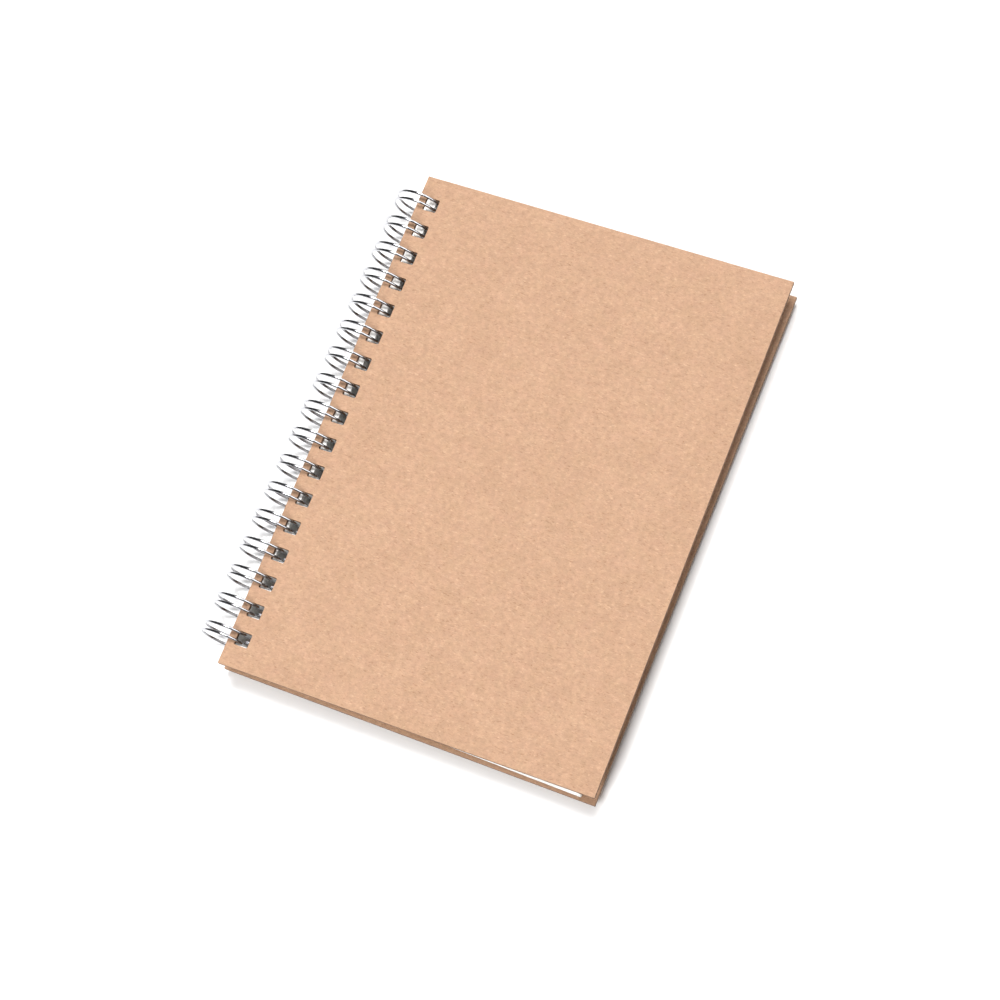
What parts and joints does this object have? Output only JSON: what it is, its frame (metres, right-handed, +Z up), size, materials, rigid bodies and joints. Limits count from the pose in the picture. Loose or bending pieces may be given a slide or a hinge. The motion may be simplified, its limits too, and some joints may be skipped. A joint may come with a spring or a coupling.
{
  "type": "spiral notebook",
  "caption": "Pocket notebook with kraft board covers and white pages, bound along its spine edge by a silver twin loop wire on which each cover swings open.",
  "frame": {"origin": "bottom centre of the closed notebook's bounding box, on the surface it lies on", "axes": "+Y along the spine towards the head of the page, +X from the spine to the fore-edge, +Z up out of the front cover"},
  "size_m": [0.12, 0.1534, 0.0153],
  "materials": {
    "kraft_board_front": "matte",
    "kraft_board_back": "matte",
    "white_paper": "matte",
    "silver_wire": "gloss"
  },
  "bodies": {
    "binding": {"page_block": "white_paper", "twin_loop_wire": "silver_wire"},
    "front_board": {"front_cover": "kraft_board_front"},
    "back_board": {"back_cover": "kraft_board_back"}
  },
  "joints": [
    {"name": "front_cover_hinge", "type": "hinge", "parent": "binding", "child": "front_board", "pos_m": [-0.05237, -0.00039, 0.00768], "axis": [0, -1, 0], "range_deg": [0, 180]},
    {"name": "back_cover_hinge", "type": "hinge", "parent": "binding", "child": "back_board", "pos_m": [-0.05237, -0.00039, 0.00768], "axis": [0, 1, 0], "range_deg": [0, 180]}
  ]
}
